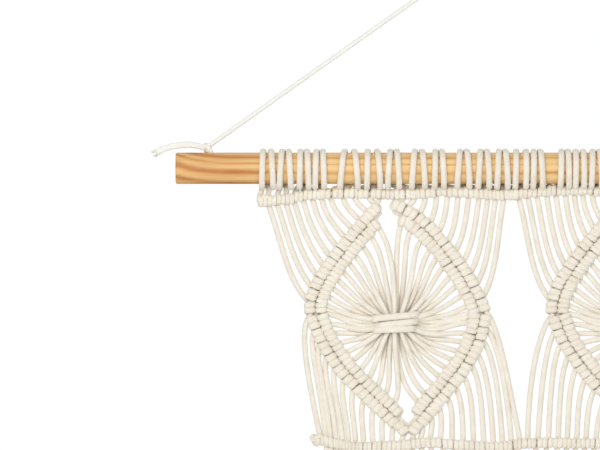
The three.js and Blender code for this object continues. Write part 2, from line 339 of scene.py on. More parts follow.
def cotton_material(name, pale, warm, yarns, pitch, relief):
    """Soft spun cotton: fine crossing yarns with painted shade in the grooves between them, fuzz
    and slow changes of tone.

    So many `yarns` lie round a cord each way, and cross it once in `pitch` millimetres."""
    n = Nodes(name)
    position = n.add("ShaderNodeTexCoord").outputs["Object"]
    uv = n.add("ShaderNodeUVMap", uv_map="cord").outputs["UV"]
    parts = n.add("ShaderNodeSeparateXYZ")
    n.link(uv, parts.inputs[0])
    around = n.math("MULTIPLY", parts.outputs["X"], TURN * yarns)
    run = n.math("MULTIPLY", parts.outputs["Y"], TURN / pitch)
    left = n.math("SINE", n.math("ADD", around, run))
    right = n.math("SINE", n.math("SUBTRACT", around, run))
    yarn = n.math("MAXIMUM", left, right)
    fuzz = n.noise(position, 2600.0, 4.0, 0.7)
    tone = n.noise(position, 95.0, 3.0, 0.6)
    slow = n.noise(position, 14.0, 2.0, 0.5)
    base = n.ramp(tone, [(0.30, warm), (0.62, pale)])
    base = n.mix(n.math("MULTIPLY", slow, 0.35), base, warm)
    # Painted shade: the colour is darkened in the grooves between the crossing yarns.
    shade = n.ramp(yarn, [(0.0, (0.90, 0.88, 0.85)), (0.55, (1.0, 1.0, 1.0))])
    base = n.mix(0.35, base, shade, "MULTIPLY")
    n.link(base, n.shader.inputs["Base Color"])
    n.roughness(fuzz, 0.14, 0.82)
    height = n.math("ADD", n.math("MULTIPLY", yarn, 0.35), n.math("MULTIPLY", fuzz, 0.65))
    n.bump(height, relief, RELIEF_DEPTH)
    n.set("Sheen Weight", 0.12)
    n.set("Sheen Roughness", 0.6)
    n.set("Specular IOR Level", 0.15)
    return n.material


SWEEP_LENGTH = 0.042  # metres from the dowel's left end over which the bands come level
SWEEP_DROP = 0.0058
RING_PITCH = 0.0058  # metres from one year's band to the next
RING_START = 0.0217
CALM_X, CALM_RATE = -0.285, 22.0  # from here to the right, the bands narrow and turn yellow

PALE, HONEY, ORANGE = (0.80, 0.50, 0.215), (0.68, 0.355, 0.122), (0.50, 0.190, 0.056)
YELLOW, TAN, BROWN = (0.86, 0.605, 0.285), (0.74, 0.455, 0.185), (0.52, 0.25, 0.08)
LEFT_PLAIN, RIGHT_PLAIN = (0.73, 0.43, 0.17), (0.81, 0.55, 0.25)
BROAD_BANDS = [
    (0.0, PALE), (0.26, PALE), (0.46, HONEY), (0.60, ORANGE), (0.74, ORANGE), (1.0, PALE),
]
NARROW_BANDS = [
    (0.0, YELLOW), (0.42, YELLOW), (0.56, TAN), (0.66, BROWN), (0.76, TAN), (1.0, YELLOW),
]


def wood_material():
    """Pine: soft orange latewood bands that sweep down from the left end, then run level."""
    n = Nodes("dowel_pine")
    position = n.add("ShaderNodeTexCoord").outputs["Object"]
    parts = n.add("ShaderNodeSeparateXYZ")
    n.link(position, parts.inputs[0])
    x, y, z = parts.outputs
    height = n.math("SUBTRACT", z, DOWEL_Z * MM)
    left = n.math("DIVIDE", n.math("ADD", x, DOWEL_HALF * MM), SWEEP_LENGTH, clamp=True)
    sweep = n.math("POWER", n.math("SUBTRACT", 1.0, left), 2.0)
    drop = n.math("ADD", n.math("MULTIPLY", height, 0.35), SWEEP_DROP)
    drop = n.math("MULTIPLY", sweep, drop)
    wander = n.grain(position, (10.0, 24.0, 24.0), 2.0, 0.45)
    ripple = n.math("MULTIPLY", n.math("SUBTRACT", wander, 0.5), 0.0055)
    level = n.math("ADD", n.math("SUBTRACT", height, drop), ripple)
    level = n.math("ADD", level, n.math("MULTIPLY", y, 0.3))
    uneven = n.math("MULTIPLY", n.math("SINE", n.math("MULTIPLY", level, 520.0)), 0.0008)
    level = n.math("ADD", level, uneven)
    ring = n.math("FRACT", n.math("DIVIDE", n.math("ADD", level, RING_START), RING_PITCH))
    calm = n.math("MULTIPLY", n.math("ADD", x, -CALM_X), CALM_RATE, clamp=True)
    band = n.mix(calm, n.ramp(ring, BROAD_BANDS), n.ramp(ring, NARROW_BANDS))
    patch = n.grain(position, (28.0, 160.0, 160.0), 2.0, 0.5)
    fade = n.math("MULTIPLY", n.math("SUBTRACT", patch, 0.34), 1.9, clamp=True)
    base = n.mix(fade, band, n.mix(calm, LEFT_PLAIN, RIGHT_PLAIN))
    streak = n.grain(position, (30.0, 900.0, 900.0), 4.0, 0.6)
    fine = n.ramp(streak, [(0.30, (0.88, 0.82, 0.76)), (0.62, (1.04, 1.02, 1.0))])
    base = n.mix(0.5, base, fine, "MULTIPLY")
    pores = n.grain(position, (90.0, 2600.0, 2600.0), 2.0, 0.6)
    fleck = n.ramp(pores, [(0.26, (0.62, 0.5, 0.42)), (0.34, (1.0, 1.0, 1.0))])
    base = n.mix(0.4, base, fleck, "MULTIPLY")
    n.link(base, n.shader.inputs["Base Color"])
    n.roughness(streak, 0.2, 0.48)
    n.bump(n.math("ADD", streak, n.math("MULTIPLY", fade, 0.4)), 0.25, RELIEF_DEPTH)
    n.set("Specular IOR Level", 0.3)
    return n.material


cotton = cotton_material(
    "knotting_cotton", (0.87, 0.825, 0.73), (0.80, 0.735, 0.625), yarns=6, pitch=3.0, relief=0.4
)
braid = cotton_material(
    "hanger_cotton", (0.87, 0.875, 0.83), (0.82, 0.82, 0.765), yarns=5, pitch=2.6, relief=0.12
)
wood = wood_material()

# ---- camera and light ----

scene = bpy.context.scene
VIEW_X, VIEW_Z = -0.238, -0.2657  # metres: the middle of the picture
VIEW_WIDTH = 0.42
DISTANCE = 4.0
SENSOR = 36.0

camera_data = bpy.data.cameras.new("camera")
camera_data.sensor_width = SENSOR
camera_data.lens = SENSOR * DISTANCE / VIEW_WIDTH
camera_data.clip_end = 30.0
camera = put("camera", camera_data)
camera.location = (VIEW_X, -DISTANCE, VIEW_Z)
camera.rotation_euler = (math.pi / 2, 0, 0)
scene.camera = camera
scene.view_settings.view_transform = "Standard"


def softbox(name, place, aim_x, size, power):
    """A square lamp that faces a point at the middle height of the panel."""
    data = bpy.data.lights.new(name, "AREA")
    data.shape = "RECTANGLE"
    data.size = data.size_y = size
    data.energy = power
    light = put(name, data)
    light.location = place
    x, y, z = np.array(place) - [aim_x, 0, AIM_Z]
    light.rotation_euler = (math.atan2(math.hypot(x, y), z), 0, math.atan2(y, x) + math.pi / 2)


AIM_Z = -0.33
softbox("key", (-0.9, -1.9, 0.4), -0.1, 1.3, 23.0)
softbox("fill", (1.3, -2.0, -0.4), 0.0, 1.4, 9.8)
softbox("back", (1.5, 1.8, 0.5), 0.0, 1.3, 14.0)

# White surroundings behind the object, as in the photo, and grey on every other side.
world = bpy.data.worlds.new("studio")
scene.world = world
world.use_nodes = True
tree = world.node_tree
background = tree.nodes["Background"]
direction = tree.nodes.new("ShaderNodeTexCoord")
split = tree.nodes.new("ShaderNodeSeparateXYZ")
sky = tree.nodes.new("ShaderNodeValToRGB")
for element, (at, level) in zip(sky.color_ramp.elements, ((0.45, 0.50), (0.85, 1.02))):
    element.position = at
    element.color = (level, level, level, 1)
tree.links.new(direction.outputs["Generated"], split.inputs[0])
tree.links.new(split.outputs["Y"], sky.inputs["Fac"])
tree.links.new(sky.outputs["Color"], background.inputs["Color"])

# ---- the hanger cord, its knots, loops and tails ----

KNOT_X = 302.7
KNOT_Z = -211.15
KNOT_ROOM = 3.85  # from a knot's middle to where the hanging cord starts
HOOK_BEND = 8.0
LEG_SPREAD = 5.6  # between the two legs of a loop
HOLE_X = KNOT_X - LEG_SPREAD / 2
HOLE_RADIUS = 2.2
HOLE_EXIT = math.radians(-35)  # about the dowel's axis, 0 at its back
# The bend at a hole's mouth, as (back, up) from the dowel's axis.
MOUTH_TURN = [(10.1, -8.2), (11.9, -8.6), (13.1, -6.4)]
BRAID_PITCH = 9.0


def along_hole(share):
    """A point of a drilled hole's axis, from its mouth on top (0) to the one at the back (1)."""
    y = share * DOWEL_R * math.cos(HOLE_EXIT)
    z = DOWEL_R + share * DOWEL_R * (math.sin(HOLE_EXIT) - 1)
    return y, z


def hanger_path():
    """Straight up from the left knot, over the hook's point and straight down to the right."""
    top = HANGER / 2
    slope = math.atan2(-KNOT_Z, KNOT_X)
    for _ in range(20):
        bend_x = HOOK_BEND * math.sin(slope)
        bend_z = top - HOOK_BEND * (1 - math.cos(slope))
        slope = math.atan2(bend_z - KNOT_Z, KNOT_X - bend_x)
    start = KNOT_X - KNOT_ROOM * math.cos(slope)
    points = [
        (-x, 0, bend_z - (x - bend_x) * math.tan(slope)) for x in np.linspace(start, bend_x, 24)
    ]
    for angle in np.linspace(slope, -slope, 15)[1:-1]:
        points.append((-HOOK_BEND * math.sin(angle), 0, top - HOOK_BEND * (1 - math.cos(angle))))
    points += [(-x, y, z) for x, y, z in points[:24][::-1]]
    return np.array(points)


def overhand(centre, lobe, deep, size, side, count, endpoint):
    """The centre line of an overhand knot drawn tight: a trefoil."""
    turn = np.linspace(0, TURN, count, endpoint=endpoint)
    knot = [
        np.sin(turn) + lobe * np.sin(2 * turn),
        -deep * np.sin(3 * turn),
        np.cos(turn) - lobe * np.cos(2 * turn),
    ]
    return np.asarray(centre) + size * np.stack(knot, axis=1) * [side, 1, 1]


path = resample(hanger_path(), 1.2)
weave = Weave()
weave.cord(path, HANGER, ply=0.035, pitch=BRAID_PITCH, sides=14)
hanger_cord = weave.piece("hanging_cord", braid, "hanger", "hanger_braid", ["hanger_cord"])

# The tail's centre line from the knot's middle, as (outward, back, up).
TAIL = [
    (2.5, 0, -0.4),
    (8.5, -0.3, 1.2),
    (14.0, -0.5, 1.7),
    (20.0, -0.4, 1.3),
    (26.0, 0.0, 0.2),
    (31.5, 0.3, -1.6),
    (35.0, 0.4, -3.0),
]
TUFTS = [(4.2, 0.2, -0.6), (2.6, -0.2, -3.6)]  # from the tail's end to the tip of each tuft
TUFT_FIBRES = 26
FRAYED_END = (3.2, 0, -2.0)  # where the tail's length ends, in the middle of the tufts

for word, side in (("left", -1), ("right", 1)):
    centre = np.array([side * KNOT_X, 0, KNOT_Z])
    knot = overhand(centre, 1.75, 1.1, 0.92, side, 60, endpoint=False)
    knot = np.vstack([knot, knot[:1]])
    weave = Weave()
    weave.cord(resample(knot, 0.7), 2.5, out=FRONT + 0.01 * UP, ply=SOFT_PLY, pitch=7.0)
    weave.piece(f"knot_{word}", braid, "hanger", "hanger_braid", [f"hanger_knot_{word}"])

    # The tail: two soft plies side by side, which part into frayed tufts.
    points = [centre + np.array(point) * [side, 1, 1] for point in TAIL]
    path = spline(points, 1.0)
    weave = Weave()
    for ply in (-1, 1):
        offset = UP * ply * 0.8
        width = 2.3 + 0.5 * smooth(np.linspace(0, 3, len(path)))
        weave.cord(path + offset, width, 2.5, ply=0.03, pitch=10.0)
    end = path[-1]
    for number, tuft in enumerate(TUFTS):
        for _ in range(TUFT_FIBRES):
            root = end + UP * (0.9 - 1.8 * number) + rng.normal(0, 0.45, 3)
            root[0] += side * -1.5
            tip = end + np.array(tuft) * [side, 1, 1] + rng.normal(0, 0.75, 3)
            mid = (root + tip) / 2 + rng.normal(0, 0.3, 3)
            fibre = spline([root, mid, tip], 0.7)
            weave.cord(fibre, np.linspace(0.5, 0.16, len(fibre)), sides=5, ply=0.0)
    tail = weave.piece(f"tail_{word}", braid, "hanger", "hanger_braid", [f"hanger_tail_{word}"])
    path = np.vstack([path, end + np.array(FRAYED_END) * [side, 1, 1]])

    # Down through the slanting hole, round on the back of the dowel and up to the knot.
    reach = DOWEL_R + 0.6 + HANGER / 2
    inner = side * HOLE_X
    outer = side * (KNOT_X + LEG_SPREAD / 2)
    points = [(side * (KNOT_X - 0.8), -0.4, DOWEL_R + 3.0)]
    for share in (0, 0.3, 0.6, 0.96):
        y, z = along_hole(share)
        points.append((inner, y, z))
    for step, (y, z) in enumerate(MOUTH_TURN):
        points.append((inner + (outer - inner) * (step + 1) / 6, y, z))
    for degrees in range(-12, 55, 11):  # up the back of the dowel, leaning in to the knot
        angle = math.radians(degrees)
        x = inner + (outer - inner) * (0.5 + 0.2 * (degrees + 12) / 66)
        points.append((x, reach * math.cos(angle), reach * math.sin(angle)))
    points.append((side * (KNOT_X + 0.9), 3.4, DOWEL_R + 1.9))
    points.append((side * (KNOT_X + 0.3), 0.4, DOWEL_R + 4.2))
    path = spline(points, 1.2) + DOWEL_Z * UP
    weave = Weave()
    weave.cord(path, HANGER * 0.94, out=RIGHT, ply=0.04, pitch=BRAID_PITCH)
    weave.piece(f"loop_{word}", braid, "dowel", "hanger_braid", [f"hanger_loop_{word}"])

# ---- where the strands run ----

# Half the distance between a lark's head's two front strands.
SPREADS_LEFT = [3.7, 2.9, 3.1, 2.9, 4.5, 4.4, 2.9, 3.3, 2.4, 3.1, 2.8, 2.7]
SPREADS_MIDDLE = [4.6, 2.4, 2.3, 3.5, 3.1, 2.9, 3.6, 2.8, 3.9, 3.0, 3.3, 2.8]
SPREADS = SPREADS_LEFT + SPREADS_MIDDLE + SPREADS_LEFT[::-1]

# Where the strands leave the upper row, and where they meet the lower one, motif by motif.
UPPER_LEFT = [
    -261.0, -254.8, -248.5, -242.4, -236.2, -229.8, -223.4, -217.0, -208.3, -200.3, -190.5, -181.6,
    -171.5, -163.6, -156.8, -149.8, -142.1, -134.5, -127.0, -119.5, -112.2, -106.0, -100.4, -94.6,
]
UPPER_MIDDLE = [
    -85.5, -79.1, -72.5, -65.7, -59.2, -52.4, -46.3, -40.4, -33.6, -25.5, -16.5, -7.6,
    1.6, 9.6, 17.5, 25.2, 32.6, 40.2, 47.0, 54.2, 61.4, 68.6, 75.6, 82.6,
]
LOWER_LEFT = [
    -223.4, -220.2, -216.8, -212.6, -208.2, -203.8, -199.0, -193.4, -187.0, -180.2, -173.4, -166.8,
    -160.6, -154.0, -147.0, -139.5, -131.4, -123.6, -116.4, -109.2, -102.4, -96.0, -89.8, -83.4,
]
LOWER_MIDDLE = [
    -78.4, -71.4, -64.0, -57.2, -50.8, -44.2, -37.8, -30.8, -24.2, -17.6, -11.0, -4.4,
    2.4, 9.0, 15.6, 22.2, 28.8, 35.4, 42.0, 48.6, 55.4, 62.2, 69.2, 76.4,
]
UPPER_X = UPPER_LEFT + UPPER_MIDDLE + [-x for x in UPPER_LEFT[::-1]]
LOWER_X = LOWER_LEFT + LOWER_MIDDLE + [-x for x in LOWER_LEFT[::-1]]

# Height of each row's centre line above its place in the CAD, along the panel.
UPPER_WAVE = [
    (-268, -5.2), (-255, -4.0), (-245, -3.0), (-236, -0.6), (-217, 0.8), (-196, 0.9), (-174, 0.0),
    (-154, 0.6), (-140, 2.4), (-119, 1.4), (-100, -0.4), (-84, 0.3), (-64, 2.6), (-40, 3.4),
    (-10, 0.6), (0, -0.8), (14, 0.2), (40, 2.2), (62, 0.8), (84, -0.9), (100, -1.1), (125, 0.6),
    (145, 1.8), (160, 0.2), (174, -0.9), (200, 0.2), (225, 0.6), (245, -1.8), (268, -4.2),
]
LOWER_WAVE = [
    (-232, 4.4), (-222, 3.4), (-212, 0.8), (-199, -1.6), (-185, -1.4), (-168, -0.6), (-158, 1.0),
    (-147, 2.2), (-135, 0.8), (-110, -0.9), (-97, -1.6), (-82, 1.0), (-69, 1.6), (-30, 1.0),
    (0, 2.0), (25, 0.4), (60, -1.0), (90, 0.6), (130, -1.2), (158, 1.2), (180, -0.8), (205, -0.6),
    (232, 3.6),
]


def wave(table, x):
    xs, zs = zip(*table)
    return np.interp(x, xs, zs)


# ---- hitches ----

BOXY = 0.72  # below 1, a wrap lies flatter on the front of its holding cord
SNUG = 1.03  # wraps are this much wider than their pitch, so that they press together


def add_hitch(weave, centre, along, source, pitch, reach, depth, thick):
    """A double half hitch: two turns of a cord round a holding cord. Gives its two ends.

    The cord comes from the side that `source` points to, behind the holding cord, and leaves
    on the other side, behind it again. Seen from the front it makes two wraps side by side."""
    turn = np.linspace(0, 2 * TURN, max(24, int(2 * TURN * reach / 0.8)))
    advance = pitch / TURN * (turn - TURN + 0.75 * np.sin(turn))
    advance = advance * (1 - 0.12 * (advance / pitch) ** 2)
    up, front = (np.sign(v) * np.abs(v) ** BOXY for v in (np.sin(turn), np.cos(turn)))
    points = (
        np.asarray(centre)
        + np.outer(advance, along)
        - np.outer(up * reach, source)
        - np.outer(front * depth, FRONT)
    )
    outward = -np.outer(np.sin(turn), source) - np.outer(np.cos(turn), FRONT)
    weave.cord(points, pitch * SNUG, thick, out=outward, ply=FINE_PLY)
    return points[0], points[-1]


FLATTENED = 5.0  # the length over which a strand flattens into a hitch


def free_section(path, widths, thicks, cord=CORD):
    """A strand's width and thickness: round, and flattened towards the hitch at each end."""
    along = distance_along(path)
    free = smooth(along / FLATTENED) * smooth((along[-1] - along) / FLATTENED)
    first_half = along < along[-1] / 2
    width, thick = (np.where(first_half, *pair) for pair in (widths, thicks))
    return width + (cord - width) * free, thick + (cord - thick) * free


ROW_REACH = 2.75  # from the holding cord's middle up or down to a wrap's middle
ROW_DEPTH = 2.4  # the same, to the front or the back
ROW_THICK = 2.35  # a wrap's thickness; its width is the pitch of its row
SPARE_PITCH = 3.4  # of the wraps that fill a gap between two hitches


def row_hitches(weave, xs, table, row_z, flips, met):
    """One hitch for each strand along a row; gives where each strand comes in and leaves.

    `xs` are where the strands leave the row (met = 1) or come in to it (met = -1)."""
    xs = np.array(xs)
    gaps = np.diff(xs)
    left = np.concatenate([[gaps[0]], gaps])
    right = np.concatenate([gaps, [gaps[-1]]])
    starts = []
    ends = []
    covered = []  # from where to where each hitch lies on the row
    for x, a, b, flip in zip(xs, left, right, flips):
        pitch = float(np.clip((a + b) / 4, 2.4, 3.75))
        x -= met * flip * 0.85 * pitch
        z = row_z + wave(table, x) + rng.normal(0, 0.12)
        centre = np.array([x, rng.normal(0, 0.12), z])
        grow = 1 + rng.normal(0, 0.03)
        start, end = add_hitch(
            weave, centre, RIGHT * flip, UP, pitch, ROW_REACH * grow, ROW_DEPTH * grow, ROW_THICK
        )
        starts.append(start)
        ends.append(end)
        covered.append((x - pitch, x + pitch))
    turn = np.linspace(0, TURN, 30)
    outward = np.stack([0 * turn, np.cos(turn), np.sin(turn)], axis=1)
    for (_, a), (b, _) in zip(covered, covered[1:]):
        count = round((b - a) / SPARE_PITCH)
        for number in range(count):
            x = a + (b - a) * (number + 0.5) / count
            ring = outward * [0, ROW_DEPTH, ROW_REACH] + [x, 0, row_z + wave(table, x)]
            width = (b - a) / count * SNUG
            weave.cord(ring, width, ROW_THICK * 0.95, out=outward, ply=FINE_PLY)
    return starts, ends


def tie_row(name, body, node, xs, table, row_z, met, half, stops, knot_x, knot_up):
    """A whole row: its hitches, the cord they hold on to, and an overhand knot in each end.

    The holding cord runs from -half to half through so many `stops`."""
    row = Weave()
    places = row_hitches(row, xs, table, row_z, FLIPS, met)
    holding = [(x, 0, row_z + wave(table, x)) for x in np.linspace(-half, half, stops)]
    row.cord(resample(holding, 2.0), HOLDING)
    for flip in (-1, 1):
        x = flip * knot_x
        centre = (x, 0, row_z + wave(table, x) + knot_up)
        knot = overhand(centre, 1.8, 1.25, 1.18, flip, 72, endpoint=True)
        row.cord(resample(knot, 0.9), 3.5, out=FRONT + 0.01 * UP, ply=SOFT_PLY, pitch=9.0)
    row.piece(name, cotton, body, replaces=[node])
    return places


# A motif's strands lean away from its middle: the right half's hitches are tied the other way.
FLIPS = [1 if index % 24 < 12 else -1 for index in range(72)]

upper_in, upper_out = tie_row(
    "upper_row", "header", "upper_hitch_row",
    UPPER_X, UPPER_WAVE, UPPER_Z, 1, half=264, stops=67, knot_x=263.6, knot_up=1.2,
)
lower_in, lower_out = tie_row(
    "lower_row", "band", "lower_hitch_row",
    LOWER_X, LOWER_WAVE, LOWER_Z, -1, half=227, stops=59, knot_x=226.5, knot_up=0,
)

# ---- the fringe ----

TIED_WIDTH = 3.1  # a strand's width where it leaves the lower row
CUT_END = 9.0  # the length over which a strand's end opens
CUT_SPREAD = 0.5

for motif in range(3):
    number = motif + 1
    for pair in range(12):
        strands = []
        for leg in (0, 1):
            index = 24 * motif + 2 * pair + leg
            start = lower_out[index]
            drift = rng.normal(0, 0.8, 3)
            sway = rng.normal(0, 0.7)
            reach = start[2] - FRINGE_BOTTOM + rng.normal(0, 1.2)
            straight = LOWER_X[index] * 0.985 + drift[0]
            points = [start]
            for share in (0.03, 0.08, 0.2, 0.38, 0.56, 0.74, 0.88, 1.0):
                bend = smooth(share / 0.3)
                x = start[0] + (straight - start[0]) * bend + sway * math.sin(5 * share + drift[1])
                y = start[1] * (1 - smooth(share / 0.12)) + 0.5 * drift[2] * bend
                points.append((x, y, start[2] - share * reach))
            path = spline(points, 1.5)
            weave = Weave()
            along = np.linspace(0, 1, len(path)) * reach
            grown = smooth(along / FLATTENED)
            opened = CUT_SPREAD * smooth((along - reach + CUT_END) / CUT_END)
            width = TIED_WIDTH + (CORD - TIED_WIDTH) * grown + opened
            thick = ROW_THICK + (CORD - ROW_THICK) * grown + opened
            weave.cord(path, width, thick, ply=0.04)
            name = f"fringe_strand_{index + 1:02d}"
            piece = weave.piece(name, cotton, replaces=[f"fringe_{number}"])
            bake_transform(piece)
            strands.append((piece, path))
        (first, path), (second, _) = strands

# ---- the lark's heads on the dowel ----

END_GAP = 16.0  # the room beyond the first and the last knot
knot_gaps = np.diff([centre[0] for centre in KNOTS])
room = np.minimum(np.append(knot_gaps, END_GAP), np.insert(knot_gaps, 0, END_GAP))
# Where a knot's two legs join on the dowel's back, and the way out from the wood there.
BIGHT = ((0, 13.3, -7.8), (0, 0.86, -0.5))

for knot, centre in enumerate(KNOTS):
    spread = SPREADS[knot]
    weave = Weave()
    kx = centre[0]
    lean = rng.normal(0, 0.35)
    halves = []
    for leg, sign in ((0, -1), (1, 1)):
        into = upper_in[2 * knot + leg] - [kx, 0, DOWEL_Z]
        top = sign * max(0.74 * spread, 2.2) + lean
        low = sign * min(1.36 * spread, 0.5 * room[knot] - 2.3)
        tuck = sign * 1.5
        # From the hitch below up behind the dowel, over its top and down its front.
        line = [(into, BACK), (into + [0, 0.3, 2.6], BACK)]
        line.append(((0.5 * (into[0] + tuck), 3.2, -13.4), BACK))
        for degrees in (-58, -30, 0, 30, 60, 90, 115, 140, 165, 190, 212):
            angle = math.radians(degrees)
            if degrees < 90:
                x = tuck + (top - tuck) * smooth((degrees + 58) / 148)
            else:
                x = top + (low - top) * ((degrees - 90) / 135)
            out = np.array([0, math.cos(angle), math.sin(angle)])
            line.append((RING * out + [x, 0, 0], out))
        # Then back under the dowel and up its back to the bight.
        line += [
            ((low, -7.2, -11.6), (0, -0.6, -0.8)),
            ((low * 1.02, -3.4, -13.5), (0, -0.25, -1)),
            ((low * 0.98, 1.6, -14.0), (0, 0.1, -1)),
            ((low * 0.9, 5.4, -13.2), (0, 0.4, -0.9)),
            ((low * 0.75, 9.7, -11.4), (0, 0.66, -0.75)),
            ((low * 0.42, 12.7, -8.8), (0, 0.82, -0.57)),
        ]
        halves.append(line)
    left, right = halves
    points, outs = zip(*left, BIGHT, *right[::-1])
    path = spline(points, 1.2)
    # The reference direction at every point of the path, from the nearest given one.
    given = np.asarray(points, float)
    outs = unit(np.asarray(outs, float))
    near = np.linalg.norm(path[:, None] - given[None], axis=2)
    weight = 1 / (near + 0.4) ** 3
    out = unit((weight[..., None] * outs[None]).sum(1) / weight.sum(1)[:, None])
    on_wood = smooth((np.hypot(path[:, 1], path[:, 2]) - 16.5) / -3.0)
    width = 3.9 + 0.4 * on_wood
    weave.cord(path + [kx, 0, DOWEL_Z], width, 3.0, out=out, ply=0.03)
    node = f"larks_head_{knot + 1:02d}"
    weave.piece(f"cord_knot_{knot + 1:02d}", cotton, "header", replaces=[node])

# ---- the diamonds ----

# The seam between a diamond's two rows of hitches, from the diamond's centre: Bezier curves
# from the top or bottom tip to a corner.
SEAMS = {
    ("upper", -1): [(-15.4, 70.7), (-27.5, 56.5), (-62.0, 21.3), (-57.4, 2.1)],
    ("upper", 1): [(1.4, 72.8), (21.7, 64.8), (51.2, 24.2), (57.4, 3.0)],
    ("lower", -1): [(6.6, -79.0), (-16.3, -53.7), (-47.3, -34.8), (-56.9, 2.1)],
    ("lower", 1): [(8.1, -79.4), (25.3, -53.1), (54.0, -33.3), (57.9, 3.0)],
}
SEAM_STEP = 0.5
HITCHES = 11  # in each row of a quarter
# How far from each end of its seam a row's first and last hitch lie.
HITCH_MARGINS = {
    ("upper", "outer"): (2.6, 4.6),
    ("upper", "inner"): (10.5, 4.6),
    ("lower", "outer"): (4.0, 5.0),
    ("lower", "inner"): (16.0, 5.0),
}
EDGE = 4.0  # a row's centre line from the seam
EDGE_REACH = 3.0
EDGE_DEPTH = 2.55
EDGE_THICK = 2.5
EDGE_WIDTH = 4.0  # a strand's width where it meets a diamond's hitch
EDGE_PITCH_CAP = 4.9
TIP_LEAD = 5.0  # how far the outer row runs on above an upper seam
SEAM_CORD = (5.0, 2.6)  # width and thickness of the cords that pass behind a seam
SEAM_BACK = 2.3


class Quarter:
    """One quarter of a diamond: its seam and the centre lines of its two rows."""

    def __init__(self, centre, half, side):
        control = [np.array([x, 0, z], float) for x, z in SEAMS[half, side]]
        seam = bezier(*control, step=SEAM_STEP)
        if half == "upper":
            lead = np.outer(np.arange(TIP_LEAD, 0, -SEAM_STEP), unit(seam[0] - seam[2]))
            seam = np.vstack([seam[0] + lead, seam])
        self.seam = seam + centre * [1, 0, 1]
        self.tangent = unit(np.gradient(self.seam, axis=0))
        inward = np.cross(self.tangent, BACK)
        heart = centre * [1, 0, 1] - self.seam
        sign = np.sign((inward * heart).sum(1))
        self.inward = inward * sign[:, None]
        self.half = half
        self.length = SEAM_STEP * (len(self.seam) - 1)

    def at(self, distance, row):
        """A row's centre line so far from the tip: the point, the way on and the way in."""
        last = len(self.seam) - 1
        index = int(np.clip(round(distance / self.length * last), 0, last))
        offset = EDGE if row == "inner" else -EDGE
        inward = self.inward[index]
        if self.half == "upper" and row == "inner":  # turned down, clear of its twin's tip
            near_tip = 1 - smooth((distance - TIP_LEAD) / 16)
            inward = unit(inward - 0.8 * near_tip * UP)
        if self.half == "lower" and row == "outer":  # drawn in, clear of the lower row
            offset *= 1 - 0.6 * (1 - smooth(distance / 14))
        point = self.seam[index] + inward * offset
        return point, self.tangent[index], inward

    def hitches(self, row):
        first, last = HITCH_MARGINS[self.half, row]
        return np.linspace(first, self.length - last, HITCHES)


# How near the diamonds' hitches may come to the centre lines of the two straight rows.
ROW_ROOM = 8.0
TOP_LIMIT = UPPER_Z - ROW_ROOM
BOTTOM_LIMIT = LOWER_Z + ROW_ROOM

LEADING_CORD = (3.2, 2.8)  # an outer row's holding cord, above the diamond
UPPER_CORD = 4.0
LOWER_CORD = 3.95
FAN_CORD = 3.8
# How far the fan's first strands leave nearer to the tip than their hitch, in hitches.
TIP_SHIFT = (1.0, 0.45, 0.2, 0.0)
LAYERS = (-3.6, 0.4, 3.8)  # front, middle and back of the bundle in a gather
SMOOTHED = (0.25, 0.5, 0.25)
# The binding's bars across a gather's front, as (left x, z, right x, z) from its middle.
BARS = [(-15.8, 2.2, 15.6, 6.2), (-12.0, -2.6, 15.0, 1.4), (-14.6, -5.4, 13.6, -4.0)]
BAR_DEPTH = 7.9
BAR_DROP = 2.4

upper_cords = Weave()
lower_cords = Weave()

